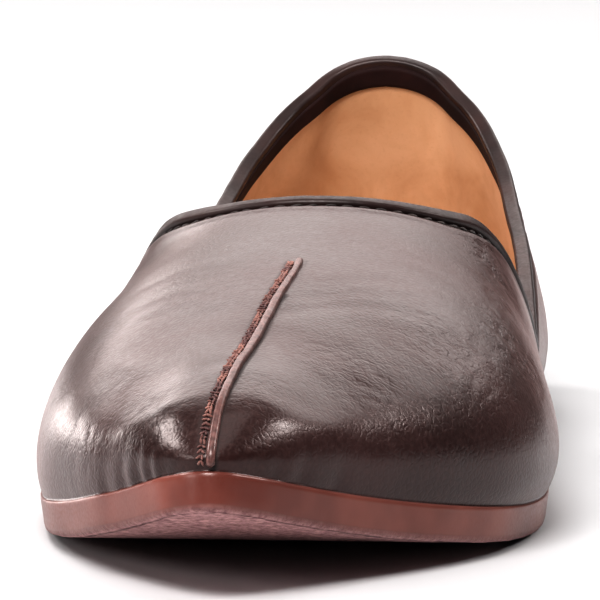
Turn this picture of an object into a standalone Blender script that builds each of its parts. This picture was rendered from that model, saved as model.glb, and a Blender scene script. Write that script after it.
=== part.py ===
"""Left shoe of a pair of slip-on leather juttis, as separate closed solids.

Work is done in millimetres with y measured from the back of the heel towards the toe, and is
turned into the row's metres at the end: X across, +X the outer side, toe towards -Y, Z up.
"""
import math

import bmesh
import bpy
import numpy as np

# ---------------------------------------------------------------- named sizes, mm
LENGTH = 284.0
CENTRE_X = 0.3
CENTRE_Y = -1.07
SOLE_THICK = 6.0
TOE_SPRING = 15.5
SPRING_FROM = 187.0
WAIST_LIFT = 1.0
WAIST_FROM = 78.0
WAIST_TO = 132.0
WALL = 2.0
GAP = 0.3
INSOLE_THICK = 2.0
INSOLE_INSET = 3.2
INSOLE_TOE_INSET = 4.0
TOE_FROM = 215.0
BEAD_WIDE = 3.6
BEAD_HIGH = 2.8
BEAD_END = 2.4
TOE_X = -6.0
HEEL_FAN = 36.0
TOE_FAN = 30.0
BULGE_HEIGHT = 12.0
SPREAD = 1.5
SOLE_ROUND = 1.2
SOLE_TOP_ROUND = 0.6

# share of the length from the heel | half breadth outer side | half breadth inner side
OUTLINE = [
    (0.000, 0.0, 0.0),
    (0.035, 19.4, 19.4),
    (0.100, 27.2, 27.6),
    (0.200, 30.3, 30.7),
    (0.300, 32.4, 32.6),
    (0.420, 34.8, 35.0),
    (0.520, 37.6, 38.5),
    (0.600, 40.2, 41.8),
    (0.680, 41.7, 43.6),
    (0.740, 40.4, 41.8),
    (0.800, 36.3, 38.2),
    (0.850, 29.2, 33.2),
    (0.900, 19.6, 27.4),
    (0.930, 13.4, 22.6),
    (0.965, 6.2, 17.0),
    (0.985, 1.2, 13.0),
    (1.000, -6.0, 6.0),
]

# mm from the heel | height of the last's ridge (behind the throat it is only the cone of the last)
RIDGE = [
    (0.0, 110.5),
    (57.0, 84.0),
    (114.0, 81.0),
    (150.0, 63.0),
    (169.0, 53.6),
    (192.0, 48.8),
    (210.0, 45.6),
    (227.0, 42.2),
    (244.0, 39.4),
    (257.0, 37.3),
    (269.0, 35.6),
    (284.0, 34.2),
]

# mm from the heel | where the ridge stands across the last
RIDGE_LINE = [
    (0.0, 0.0),
    (150.0, 0.0),
    (185.0, 0.8),
    (210.0, 0.5),
    (220.0, -0.5),
    (230.0, -1.6),
    (244.0, -2.9),
    (261.0, -4.2),
    (268.0, -5.0),
    (275.0, -5.7),
    (284.0, -6.2),
]

# mm from the heel | side fullness | top fullness, outer and inner | fall of the crown | bulge, outer and inner
SECTION = [
    (0.0, 0.56, 0.47, 0.47, 0.0, 3.2, 3.2),
    (60.0, 0.68, 0.27, 0.27, 0.0, 4.6, 5.0),
    (112.0, 0.64, 0.33, 0.32, 0.0, 2.2, 2.6),
    (165.0, 0.64, 0.60, 0.50, 0.0, 1.8, 1.4),
    (215.0, 0.69, 0.60, 0.54, 0.04, 3.4, 1.6),
    (240.0, 0.62, 0.74, 0.66, 0.18, 2.2, 1.8),
    (262.0, 0.52, 0.84, 0.80, 0.28, 1.8, 1.8),
    (274.0, 0.66, 0.80, 0.80, 0.14, 2.0, 2.0),
    (284.0, 0.80, 0.76, 0.76, 0.04, 0.6, 0.6),
]

# mm round the sole's edge from the heel centre (130 is the side dip) | height of the leather's edge
COLLAR = [
    (0.0, 62.6),
    (10.0, 60.9),
    (20.0, 56.6),
    (30.0, 52.0),
    (42.0, 47.2),
    (50.0, 44.2),
    (60.0, 40.7),
    (71.0, 37.8),
    (87.0, 34.2),
    (103.0, 29.4),
    (130.0, 20.2),
]

# mm from the heel | half breadth outer | half breadth inner | height of the leather's edge
THROAT = [
    (112.0, 35.9, 36.1, 20.2),
    (126.2, 35.7, 36.1, 25.9),
    (135.3, 35.1, 35.5, 30.6),
    (140.4, 34.2, 34.5, 34.6),
    (143.5, 32.9, 33.1, 38.0),
    (147.0, 31.2, 31.4, 41.6),
    (151.6, 29.5, 29.2, 44.6),
    (155.6, 27.4, 27.2, 46.5),
    (163.2, 22.4, 21.5, 48.9),
    (168.7, 14.3, 14.2, 51.2),
    (171.9, 0.0, 0.0, 52.9),
]

# ribs in the collar, throat and forefoot, and points up each rib
RIBS_COLLAR = 15
RIBS_THROAT = 15
RIBS_FORE = 15
RIB_POINTS = 13
SOLE_RIBS = 44
SOLE_ACROSS = 6
BEAD_ROUND = 8


# ---------------------------------------------------------------- curves
def column(table, k):
    return np.array([row[k] for row in table], float)


def through(x, table, k):
    """Smooth monotone curve through column k of a table, by its first column."""
    xs, ys = column(table, 0), column(table, k)
    h = np.diff(xs)
    d = np.diff(ys) / h
    m = np.zeros_like(ys)
    m[0], m[-1] = d[0], d[-1]
    for i in range(1, len(xs) - 1):
        if d[i - 1] * d[i] > 0:
            a, b = 2 * h[i] + h[i - 1], h[i] + 2 * h[i - 1]
            m[i] = (a + b) / (a / d[i - 1] + b / d[i])
    x = np.clip(x, xs[0], xs[-1])
    j = np.clip(np.searchsorted(xs, x, side='right') - 1, 0, len(xs) - 2)
    t = (x - xs[j]) / h[j]
    near = (1 + 2 * t) * (1 - t) ** 2 * ys[j] + t * (1 - t) ** 2 * h[j] * m[j]
    return near + t * t * (3 - 2 * t) * ys[j + 1] + t * t * (t - 1) * h[j] * m[j + 1]


def spline(points, first, last, count):
    """Cubic curve through points, with the two end directions given."""
    pts = np.asarray(points, float)
    step = np.linalg.norm(np.diff(pts, axis=0), axis=1) ** 0.5
    t = np.concatenate([[0], np.cumsum(step)])
    h = np.diff(t)[:, None]
    d = np.diff(pts, axis=0) / h
    m = np.zeros_like(pts)
    m[1:-1] = (d[1:] * h[:-1] + d[:-1] * h[1:]) / (h[:-1] + h[1:])
    m[0], m[-1] = first, last
    q = np.linspace(0, t[-1], count)
    j = np.clip(np.searchsorted(t, q, side='right') - 1, 0, len(pts) - 2)
    w = (t[j + 1] - t[j])[:, None]
    s = (q - t[j])[:, None] / w
    near = (1 + 2 * s) * (1 - s) ** 2 * pts[j] + s * (1 - s) ** 2 * w * m[j]
    return near + s * s * (3 - 2 * s) * pts[j + 1] + s * s * (s - 1) * w * m[j + 1]


def even(curve, count):
    """The same curve with points an equal distance apart."""
    step = np.linalg.norm(np.diff(curve, axis=0), axis=1)
    t = np.concatenate([[0], np.cumsum(step)])
    q = np.linspace(0, t[-1], count)
    return np.stack([np.interp(q, t, curve[:, k]) for k in range(curve.shape[1])], 1)


def ease(t):
    t = np.clip(t, 0, 1)
    return t * t * (3 - 2 * t)


# ---------------------------------------------------------------- the last
def bottom(y):
    """Height of the sole's underside: flat heel and forefoot, slight waist, sprung toe."""
    rise = np.clip((y - SPRING_FROM) / (LENGTH - SPRING_FROM), 0, None)
    mid = 0.5 * (WAIST_FROM + WAIST_TO)
    waist = ease((y - WAIST_FROM) / (mid - WAIST_FROM)) * ease((WAIST_TO - y) / (WAIST_TO - mid))
    return TOE_SPRING * rise ** 2.15 + WAIST_LIFT * waist


def feather(y):
    """Height of the sole's top, where the upper starts."""
    rise = np.clip((y - SPRING_FROM) / (LENGTH - SPRING_FROM), 0, None)
    return TOE_SPRING * rise ** 2.15 + SOLE_THICK


def ridge_x(y):
    return through(y, RIDGE_LINE, 1)


def lean(y, z):
    """How far the sole's lower layers stand forward of its top where the toe rises."""
    rise = np.clip((y - SPRING_FROM) / (LENGTH - SPRING_FROM), 0, None)
    slope = 2.15 * TOE_SPRING / (LENGTH - SPRING_FROM) * rise ** 1.15
    return (feather(y) - z) * slope


class Half:
    """One side of the last: ribs rise from the sole's edge to the ridge."""

    def __init__(self, side):
        self.side = side
        k = 1 if side > 0 else 2
        pts = [(side * row[k], row[0] * LENGTH) for row in OUTLINE]
        self.line = even(spline(pts, (side * 9.5, 0), (-side * 3.2, 0), 900), 601)
        self.share = np.linspace(0, 1, len(self.line))
        d = np.gradient(self.line, axis=0)
        n = np.stack([d[:, 1], -d[:, 0]], 1) * side
        self.out = n / np.linalg.norm(n, axis=1)[:, None]

    def share_at(self, y):
        return np.interp(y, self.line[:, 1], self.share)

    def foot(self, u):
        return (np.interp(u, self.share, self.line[:, 0]), np.interp(u, self.share, self.line[:, 1]),
                np.interp(u, self.share, self.out[:, 0]), np.interp(u, self.share, self.out[:, 1]))

    def point(self, u, w):
        """Point at share w up the rib that stands at share u of the sole's edge."""
        px, py, nx, ny = self.foot(u)
        qy = np.where(py < 2 * HEEL_FAN, HEEL_FAN + py ** 2 / (4 * HEEL_FAN), py)
        r = LENGTH - py
        qy = np.where(r < 2 * TOE_FAN, LENGTH - (TOE_FAN + r ** 2 / (4 * TOE_FAN)), qy)
        outer = self.side > 0
        side_full = through(py, SECTION, 1)
        top_full = through(py, SECTION, 2 if outer else 3)
        fall = through(py, SECTION, 4)
        bulge = through(py, SECTION, 5 if outer else 6)
        a = 3 * w * (1 - w) ** 2
        b = 3 * w * w * (1 - w)
        c = w ** 3
        across = b * (1 - top_full) + c
        up = a * side_full + b * (1 - fall) + c
        x = px + (ridge_x(qy) - px) * across
        y = py + (qy - py) * across
        z0 = feather(y)
        z = z0 + (through(y, RIDGE, 1) - z0) * up
        h = np.clip(z - z0, 0, None) / BULGE_HEIGHT
        push = bulge * h * np.exp(1 - h)
        return np.stack([x + nx * push, y + ny * push, z], -1)

    def climb(self, u, over):
        """Share up each rib where over(point) turns from no to yes."""
        low, high = np.zeros_like(u), np.ones_like(u)
        for _ in range(26):
            mid = (low + high) / 2
            past = over(self.point(u, mid))
            high = np.where(past, mid, high)
            low = np.where(past, low, mid)
        return (low + high) / 2

    def topline(self, n_collar, n_throat):
        """Rib foot and share up the rib for points along the collar and throat edges."""
        k = 1 if self.side > 0 else 2
        u_dip = float(self.share_at(THROAT[0][0]))
        uc = u_dip * np.linspace(0, 1, n_collar + 1)
        height = through(uc / u_dip * COLLAR[-1][0], COLLAR, 1)
        wc = self.climb(uc, lambda p: p[..., 2] > height)
        rows = [(r[0], r[k], r[3]) for r in THROAT]
        edge = even(spline(rows, (6, -0.5, 1.5), (0, -6, 0), 400), n_throat + 1)
        ut = self.share_at(edge[:, 0])
        side = self.side
        wt = self.climb(ut, lambda p: (p[..., 2] - edge[:, 2]) + (edge[:, 1] - side * p[..., 0]) > 0)
        wt[-1] = 1.0
        return uc, wc, ut, wt

    def grid(self, n_collar, n_throat, n_fore, points):
        """Grid of the whole side, from the sole's edge to the topline and the ridge."""
        uc, wc, ut, wt = self.topline(n_collar, n_throat)
        u_wide = float(self.share_at(LENGTH * 0.6 + 22))
        foot = np.concatenate([uc, np.linspace(uc[-1], u_wide, n_throat + 1)[1:],
                               np.linspace(u_wide, 1, n_fore + 1)[1:]])
        end_u = np.concatenate([uc, ut[1:], np.linspace(ut[-1], 1, n_fore + 1)[1:]])
        end_w = np.concatenate([wc, wt[1:], np.ones(n_fore)])
        v = np.linspace(0, 1, points)
        u = foot[:, None] + (end_u - foot)[:, None] * v[None, :] ** SPREAD
        return self.point(u, end_w[:, None] * v[None, :])


# ---------------------------------------------------------------- mesh helpers
def to_row(p):
    """Work millimetres to the row's metres, with the whole shoe centred over the origin."""
    p = np.asarray(p, float)
    return np.stack([p[..., 0] + CENTRE_X, LENGTH / 2 - p[..., 1] + CENTRE_Y, p[..., 2]], -1) * 0.001


def make_object(name, verts, faces, colour, rough):
    mesh = bpy.data.meshes.new(name)
    bm = bmesh.new()
    vs = [bm.verts.new(tuple(v)) for v in to_row(verts)]
    for f in faces:
        ids = [i for k, i in enumerate(f) if i != f[k - 1]]
        if len(set(ids)) >= 3:
            bm.faces.new([vs[i] for i in ids])
    bmesh.ops.remove_doubles(bm, verts=bm.verts, dist=0.000002)
    loose = [v for v in bm.verts if not v.link_faces]
    bmesh.ops.delete(bm, geom=loose, context='VERTS')
    bmesh.ops.recalc_face_normals(bm, faces=bm.faces)
    if bm.calc_volume(signed=True) < 0:
        bmesh.ops.reverse_faces(bm, faces=bm.faces)
    bmesh.ops.triangulate(bm, faces=bm.faces)
    bm.to_mesh(mesh)
    bm.free()
    obj = bpy.data.objects.new(name, mesh)
    bpy.context.scene.collection.objects.link(obj)
    mat = bpy.data.materials.new(name)
    mat.use_nodes = True
    shader = mat.node_tree.nodes["Principled BSDF"]
    shader.inputs["Base Color"].default_value = (colour[0], colour[1], colour[2], 1.0)
    shader.inputs["Roughness"].default_value = rough
    mesh.materials.append(mat)
    return obj


def vertex_normals(verts, faces):
    n = np.zeros_like(verts)
    for f in faces:
        p = verts[list(f)]
        q = np.cross(p[2] - p[0], p[3] - p[1]) if len(f) == 4 else np.cross(p[1] - p[0], p[2] - p[0])
        for i in f:
            n[i] += q
    return n / np.maximum(np.linalg.norm(n, axis=1), 1e-9)[:, None]


# ---------------------------------------------------------------- upper
def upper_skin():
    """Welded outer skin: vertices, quads, the lower edge loop and the topline loop."""
    grids = {}
    for side in (1, -1):
        grids[side] = Half(side).grid(RIBS_COLLAR, RIBS_THROAT, RIBS_FORE, RIB_POINTS)
    outer, inner = grids[1], grids[-1]
    rows, cols = outer.shape[:2]
    ids_a = np.arange(rows * cols).reshape(rows, cols)
    ids_b = ids_a + rows * cols
    verts = np.concatenate([outer.reshape(-1, 3), inner.reshape(-1, 3)])
    first_ridge = RIBS_COLLAR + RIBS_THROAT
    shared = [(0, j) for j in range(cols)] + [(rows - 1, j) for j in range(cols)]
    shared += [(i, cols - 1) for i in range(first_ridge, rows)]
    for i, j in shared:
        mid = (outer[i, j] + inner[i, j]) / 2
        verts[ids_a[i, j]] = mid
        ids_b[i, j] = ids_a[i, j]
    faces = []
    for i in range(rows - 1):
        for j in range(cols - 1):
            faces.append((ids_a[i, j], ids_a[i, j + 1], ids_a[i + 1, j + 1], ids_a[i + 1, j]))
            faces.append((ids_b[i, j], ids_b[i + 1, j], ids_b[i + 1, j + 1], ids_b[i, j + 1]))
    low = [ids_a[i, 0] for i in range(rows)] + [ids_b[i, 0] for i in range(rows - 2, 0, -1)]
    top = [ids_a[i, cols - 1] for i in range(first_ridge + 1)]
    top += [ids_b[i, cols - 1] for i in range(first_ridge - 1, 0, -1)]
    used = sorted(set(i for f in faces for i in f))
    place = {old: new for new, old in enumerate(used)}
    faces = [tuple(place[i] for i in f) for f in faces]
    return verts[used], faces, [place[i] for i in low], [place[i] for i in top]


def build_upper():
    verts, faces, low, top = upper_skin()
    n = vertex_normals(verts, faces)
    centre = np.array([0.0, LENGTH / 2, 20.0])
    if ((verts - centre) * n).sum() < 0:
        n = -n
        faces = [f[::-1] for f in faces]
    outer = verts.copy()
    inner = verts - n * WALL
    floor = feather(inner[:, 1]) + GAP + 0.15
    inner[:, 2] = np.maximum(inner[:, 2], floor)
    outer[low, 2] += GAP
    inner[low, 2] = outer[low, 2]
    count = len(verts)
    every = [f for f in faces] + [tuple(i + count for i in f[::-1]) for f in faces]
    for loop in (low, top):
        for k, a in enumerate(loop):
            b = loop[(k + 1) % len(loop)]
            every.append((a, b, b + count, a + count))
    obj = make_object("upper", np.concatenate([outer, inner]), every, (0.045, 0.022, 0.02), 0.42)
    rim = outer[top], inner[top], n[top]
    return obj, rim


# ---------------------------------------------------------------- rolled edges
def bead(name, line, normal, ends):
    """Rolled edge with an oval section that sits GAP above the upper's edge."""
    pts = np.asarray(line, float)
    tangent = np.gradient(pts, axis=0)
    tangent /= np.linalg.norm(tangent, axis=1)[:, None]
    side = normal - (normal * tangent).sum(1)[:, None] * tangent
    side /= np.linalg.norm(side, axis=1)[:, None]
    rise = np.cross(tangent, side)
    if rise[:, 2].sum() < 0:
        rise = -rise
    verts, faces = [], []
    count = len(pts)
    for i in range(count):
        near = min(i, count - 1 - i)
        size = ends[near] if near < len(ends) else 1.0
        mid = pts[i] + rise[i] * (GAP + BEAD_HIGH / 2)
        for k in range(BEAD_ROUND):
            t = 2 * math.pi * k / BEAD_ROUND
            verts.append(mid + side[i] * (0.5 * BEAD_WIDE * size * math.cos(t))
                         + rise[i] * (0.5 * BEAD_HIGH * size * math.sin(t)))
    for i in range(count - 1):
        for k in range(BEAD_ROUND):
            m = (k + 1) % BEAD_ROUND
            a = i * BEAD_ROUND
            b = a + BEAD_ROUND
            faces.append((a + k, a + m, b + m, b + k))
    last = (count - 1) * BEAD_ROUND
    faces.append(tuple(range(BEAD_ROUND - 1, -1, -1)))
    faces.append(tuple(last + k for k in range(BEAD_ROUND)))
    return make_object(name, np.array(verts), faces, (0.03, 0.016, 0.015), 0.38)


def trim(line, normal, cut, count):
    """Shorten a line by cut at both ends and space it evenly."""
    both = np.concatenate([line, normal], 1)
    step = np.linalg.norm(np.diff(line, axis=0), axis=1)
    t = np.concatenate([[0], np.cumsum(step)])
    q = np.linspace(cut, t[-1] - cut, count)
    out = np.stack([np.interp(q, t, both[:, k]) for k in range(6)], 1)
    return out[:, :3], out[:, 3:]


def build_beads(rim):
    outer, inner, n = rim
    mid = (outer + inner) / 2
    total = len(mid)
    a, b = RIBS_COLLAR, total - RIBS_COLLAR
    throat = list(range(a, b + 1))
    collar = list(range(b, total)) + list(range(0, a + 1))
    line, nor = trim(mid[throat], n[throat], BEAD_END, 41)
    bead("throat_binding", line, nor, (0.8, 0.95))
    line, nor = trim(mid[collar], n[collar], BEAD_END, 41)
    bead("collar_binding", line, nor, (0.8, 0.95))


# ---------------------------------------------------------------- sole and insole
def slab(name, inset, more, layers, colour, rough):
    """Solid between closed outlines: layers are (extra inset, height rule); more is for the toe."""
    left, right = Half(-1), Half(1)
    u = 0.5 - 0.5 * np.cos(np.pi * np.linspace(0, 1, SOLE_RIBS + 1))
    u = 0.55 * u + 0.45 * np.linspace(0, 1, SOLE_RIBS + 1)
    verts, rings = [], []
    for extra, rule in layers:
        ring = []
        for half, order in ((right, range(SOLE_RIBS + 1)), (left, range(SOLE_RIBS - 1, 0, -1))):
            px, py, nx, ny = half.foot(u)
            for i in order:
                step = inset + extra + more * ease((py[i] - TOE_FROM) / (LENGTH - TOE_FROM))
                sx, sy = px[i] - nx[i] * step, py[i] - ny[i] * step
                if i in (0, SOLE_RIBS):
                    sx = 0.0 if i == 0 else TOE_X
                    sy = step if i == 0 else LENGTH - step
                ring.append(len(verts))
                verts.append((sx, sy, float(rule(sy))))
        rings.append(ring)
    size = len(rings[0])
    faces = []
    for a, b in zip(rings[:-1], rings[1:]):
        for k in range(size):
            m = (k + 1) % size
            faces.append((a[k], a[m], b[m], b[k]))
    for ring, rule, flip in ((rings[0], layers[0][1], True), (rings[-1], layers[-1][1], False)):
        rungs = [[ring[0]]]
        for i in range(1, SOLE_RIBS):
            a, b = ring[i], ring[size - i]
            rung = [a]
            for k in range(1, SOLE_ACROSS):
                t = k / SOLE_ACROSS
                x = verts[a][0] + (verts[b][0] - verts[a][0]) * t
                y = verts[a][1] + (verts[b][1] - verts[a][1]) * t
                rung.append(len(verts))
                verts.append((x, y, float(rule(y))))
            rung.append(b)
            rungs.append(rung)
        rungs.append([ring[SOLE_RIBS]])
        for p, q in zip(rungs[:-1], rungs[1:]):
            for k in range(SOLE_ACROSS):
                a, b = p[min(k, len(p) - 1)], p[min(k + 1, len(p) - 1)]
                c, d = q[min(k + 1, len(q) - 1)], q[min(k, len(q) - 1)]
                face = (a, b, c, d)
                faces.append(face[::-1] if flip else face)
    verts = np.array(verts)
    verts[:, 1] += lean(verts[:, 1], verts[:, 2])
    return make_object(name, verts, faces, colour, rough)


def build_sole():
    r, t = SOLE_ROUND, SOLE_TOP_ROUND
    layers = [
        (1.0 + r, lambda y: bottom(y)),
        (1.0 + 0.3 * r, lambda y: bottom(y) + 0.3 * r),
        (1.0, lambda y: bottom(y) + r),
        (0.0, lambda y: feather(y) - t),
        (t, lambda y: feather(y)),
    ]
    slab("outsole", -0.2, 0.0, layers, (0.16, 0.05, 0.035), 0.45)


def build_insole():
    edge = 0.5
    layers = [
        (0.0, lambda y: feather(y) + GAP),
        (0.0, lambda y: feather(y) + GAP + INSOLE_THICK - edge),
        (edge, lambda y: feather(y) + GAP + INSOLE_THICK),
    ]
    slab("insole", INSOLE_INSET, INSOLE_TOE_INSET, layers, (0.55, 0.29, 0.14), 0.6)


def clear_scene():
    for obj in list(bpy.data.objects):
        bpy.data.objects.remove(obj, do_unlink=True)


clear_scene()
build_sole()
build_insole()
upper, rim = build_upper()
build_beads(rim)
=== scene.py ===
"""Dark brown leather slip-on: the left shoe of a pair, standing empty on a pale floor.

Sizes are in millimetres, with y measured from the back of the heel to the toe, as a last is measured.
place() turns them into the frame's metres.
"""
import math

import bpy
import numpy as np
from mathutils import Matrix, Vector
from mathutils.bvhtree import BVHTree
from mathutils.kdtree import KDTree


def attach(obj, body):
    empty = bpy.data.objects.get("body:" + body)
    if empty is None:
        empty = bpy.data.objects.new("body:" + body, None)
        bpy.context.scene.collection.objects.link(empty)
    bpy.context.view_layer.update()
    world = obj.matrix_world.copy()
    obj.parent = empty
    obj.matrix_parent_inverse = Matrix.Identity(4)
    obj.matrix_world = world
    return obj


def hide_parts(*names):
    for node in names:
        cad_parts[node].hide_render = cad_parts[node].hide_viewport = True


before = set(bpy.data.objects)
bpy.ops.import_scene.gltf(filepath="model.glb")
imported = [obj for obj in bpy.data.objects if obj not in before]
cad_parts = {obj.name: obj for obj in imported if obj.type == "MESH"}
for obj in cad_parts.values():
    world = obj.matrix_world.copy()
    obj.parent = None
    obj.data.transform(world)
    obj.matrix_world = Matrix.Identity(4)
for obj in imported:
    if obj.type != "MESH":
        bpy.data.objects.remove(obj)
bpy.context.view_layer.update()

# ------------------------------------------------------------------ sizes of the last and the sole
LENGTH = 284.0
CENTRE_X = 0.3
CENTRE_Y = -1.07
SOLE_THICK = 6.0
TOE_SPRING = 15.5
SPRING_FROM = 187.0
SPRING_POWER = 2.15
WAIST_LIFT = 1.0
WAIST_FROM = 78.0
WAIST_TO = 132.0
TOE_X = -6.0
HEEL_TURN = 9.5
TOE_TURN = 3.2
EDGE_POINTS = 601
EDGE_CURVE_POINTS = 900
HEEL_FAN = 36.0
TOE_FAN = 30.0
WING_RIBS_TO = 192.4
BULGE_HEIGHT = 12.0
RIB_SLANT_POWER = 1.5
SETTLE_ROUNDS = 260
LEVEL_STEP = 1.0
LEVEL_REACH = 3.2
LEVEL_X = (-30.0, 24.5)
LEVEL_Y = (226.0, 283.5)

# ------------------------------------------------------------------ sizes of the leather work
LEATHER = 1.2
LINING_FROM = 1.3
LINING_TO = 2.0
FACING_TO = 2.66
FACING_UP = 1.3
FACING_TUCK = 0.4
FACING_RUNGS = 8
FACING_UNEVEN = 0.15
FACING_WIDE = {"throat": 2.9, "collar": 3.5}
ROLL_WIDE = 2.9
ROLL_HIGH = 2.9
ROLL_CORNER = 0.75
ROLL_DEEP = 1.15
ROLL_SUNK = 0.4
ROLL_END = 1.4
ROLL_PAST = {"throat": 0.7, "collar": 1.7}
GROOVE_DEEP = 0.85
GROOVE_AT = 1.25
GROOVE_WIDE = 0.75
PUFF_AT = 3.6
PUFF_WIDE = 0.9
PUFF_HIGH = 0.16
STITCHES_DEEP = 0.6
STITCHES_SHORT = 2.5
SEAM_BACK_Y = 207.0
SEAM_WIDE = 1.4
SEAM_HIGH = 0.8
SEAM_CORNER = 0.6
SEAM_END = 0.5
SEAM_THIN = 0.82
SEAM_SIDE = 0.3
VALLEY_DEEP = 0.9
VALLEY_WIDE = 6.0
CREASE_DEEP = 0.6
PEBBLE_DEEP = 0.26

# share of the length from the heel | half breadth outer side | half breadth inner side
OUTLINE = [
    (0.000, 0.0, 0.0),
    (0.035, 19.4, 19.4),
    (0.100, 27.2, 27.6),
    (0.200, 30.3, 30.7),
    (0.300, 32.4, 32.6),
    (0.420, 34.8, 35.0),
    (0.520, 37.6, 38.5),
    (0.600, 40.2, 41.8),
    (0.680, 41.7, 43.6),
    (0.740, 40.4, 41.8),
    (0.800, 36.3, 38.2),
    (0.850, 29.2, 33.2),
    (0.900, 19.6, 27.4),
    (0.930, 13.4, 22.6),
    (0.965, 6.2, 17.0),
    (0.985, 1.2, 13.0),
    (1.000, -6.0, 6.0),
]

# mm from the heel | height of the last's ridge
RIDGE = [
    (0.0, 110.5),
    (57.0, 84.0),
    (114.0, 81.0),
    (150.0, 63.0),
    (169.0, 53.6),
    (192.0, 48.8),
    (210.0, 45.6),
    (227.0, 42.2),
    (244.0, 39.4),
    (257.0, 37.3),
    (269.0, 35.6),
    (284.0, 34.2),
]

# mm from the heel | where the ridge, and the seam on it, stand across the last
RIDGE_LINE = [
    (0.0, 0.0),
    (150.0, 0.0),
    (185.0, 0.8),
    (210.0, 0.5),
    (220.0, -0.5),
    (230.0, -1.6),
    (244.0, -2.9),
    (261.0, -4.2),
    (268.0, -5.0),
    (275.0, -5.7),
    (284.0, -6.2),
]

# mm from the heel | side fullness | top fullness outer | inner | crown's fall | bulge outer | inner
SECTION = [
    (0.0, 0.56, 0.47, 0.47, 0.0, 3.2, 3.2),
    (60.0, 0.68, 0.27, 0.27, 0.0, 4.6, 5.0),
    (112.0, 0.64, 0.33, 0.32, 0.0, 2.2, 2.6),
    (165.0, 0.64, 0.60, 0.50, 0.0, 1.8, 1.4),
    (215.0, 0.69, 0.60, 0.54, 0.04, 3.4, 1.6),
    (240.0, 0.62, 0.74, 0.66, 0.18, 2.2, 1.8),
    (262.0, 0.52, 0.84, 0.80, 0.28, 1.8, 1.8),
    (274.0, 0.66, 0.80, 0.80, 0.14, 2.0, 2.0),
    (284.0, 0.80, 0.76, 0.76, 0.04, 0.6, 0.6),
]

# mm round the sole's edge from the heel centre (130 is the side dip) | height of the leather's edge
COLLAR = [
    (0.0, 64.4),
    (10.0, 62.6),
    (20.0, 58.0),
    (30.0, 53.1),
    (42.0, 47.9),
    (50.0, 44.7),
    (60.0, 40.7),
    (71.0, 37.3),
    (87.0, 33.2),
    (103.0, 28.9),
    (130.0, 20.2),
]

# mm from the heel | half breadth outer | half breadth inner | height of the leather's edge
THROAT = [
    (112.0, 35.9, 36.1, 20.2),
    (126.2, 35.7, 36.1, 25.9),
    (135.3, 35.1, 35.5, 30.6),
    (140.4, 34.2, 34.5, 34.6),
    (143.5, 32.9, 33.1, 38.0),
    (147.0, 31.2, 31.4, 41.6),
    (151.6, 29.5, 29.2, 44.6),
    (155.6, 27.4, 27.2, 46.5),
    (163.2, 22.4, 21.5, 48.9),
    (168.7, 14.3, 14.2, 51.2),
    (171.9, 0.0, 0.0, 52.9),
]

# ------------------------------------------------------------------ shape of the leather
# Folds down to the sole: mm round the edge from the toe, + outer side | slant | width | depth | reach
LASTING_FOLDS = [
    (-9.0, 0.10, 1.2, 0.14, 4.0),
    (-13.0, 0.14, 1.1, 0.30, 5.0),
    (-17.2, 0.20, 1.5, 0.36, 4.0),
    (-23.5, 0.22, 1.4, 0.20, 5.5),
    (-31.0, 0.30, 1.9, 0.20, 4.5),
    (12.0, -0.12, 1.2, 0.18, 4.0),
    (17.5, -0.18, 1.5, 0.24, 4.5),
    (26.0, -0.22, 1.8, 0.20, 4.0),
]

# Soft troughs and ridges over the vamp, as a bent line: x1 | y1 | x2 | y2 | x3 | y3 | width | height
VAMP_CREASES = [
    (-3.0, 236.0, 10.0, 226.0, 25.0, 218.0, 2.2, -0.22),
    (-1.0, 229.0, 12.0, 219.0, 27.0, 211.0, 2.4, -0.20),
    (1.0, 221.0, 14.0, 212.0, 28.0, 204.0, 2.4, -0.16),
    (8.0, 201.0, 18.0, 197.0, 29.0, 195.0, 2.0, -0.14),
    (7.0, 195.0, 17.0, 191.0, 27.0, 189.0, 2.0, -0.12),
    (-8.0, 234.0, -16.0, 225.0, -27.0, 219.0, 2.2, -0.16),
    (-7.0, 222.0, -18.0, 213.0, -30.0, 209.0, 2.4, -0.16),
    (-9.0, 203.0, -19.0, 199.0, -30.0, 199.0, 2.2, -0.12),
    (27.0, 232.0, 31.0, 222.0, 34.0, 208.0, 2.6, -0.25),
    (24.0, 240.0, 30.0, 229.0, 34.0, 217.0, 2.4, 0.18),
    (-14.0, 252.0, -22.0, 243.0, -30.0, 232.0, 2.6, 0.20),
]

# Fine wrinkling of the grain: x | y | z | radius | strength
QUARTER_WRINKLES = [
    (-16.0, 4.0, 50.0, 7.0, 0.9),
    (-17.5, 3.5, 41.0, 8.0, 1.0),
    (-19.0, 4.0, 31.0, 8.0, 1.0),
    (-20.0, 5.0, 20.0, 7.0, 0.8),
    (16.0, 4.0, 50.0, 7.5, 1.0),
    (17.5, 3.5, 41.0, 8.5, 1.0),
    (19.0, 4.0, 31.0, 9.0, 1.0),
    (20.0, 5.0, 20.0, 7.5, 0.8),
    (31.0, 40.0, 26.0, 14.0, 0.3),
    (-31.0, 40.0, 26.0, 14.0, 0.3),
]
VAMP_WRINKLES = [
    (30.0, 165.0, 40.0, 8.0, 1.0),
    (33.0, 182.0, 37.0, 9.0, 1.0),
    (34.0, 202.0, 32.0, 10.0, 1.0),
    (28.0, 224.0, 31.0, 11.0, 0.8),
    (14.0, 250.0, 30.0, 12.0, 0.4),
    (-18.0, 268.0, 26.0, 11.0, 0.4),
    (-29.0, 252.0, 22.0, 12.0, 0.5),
    (-2.0, 268.0, 30.0, 9.0, 0.3),
    (-38.0, 215.0, 22.0, 16.0, 0.25),
    (8.0, 215.0, 45.0, 20.0, 0.15),
    (-15.0, 215.0, 44.0, 18.0, 0.25),
]

# Soft unevenness of the leather: height | size | seed
UNEVENNESS = [
    (0.11, 17.0, 3),
    (0.05, 7.0, 5),
]

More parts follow.
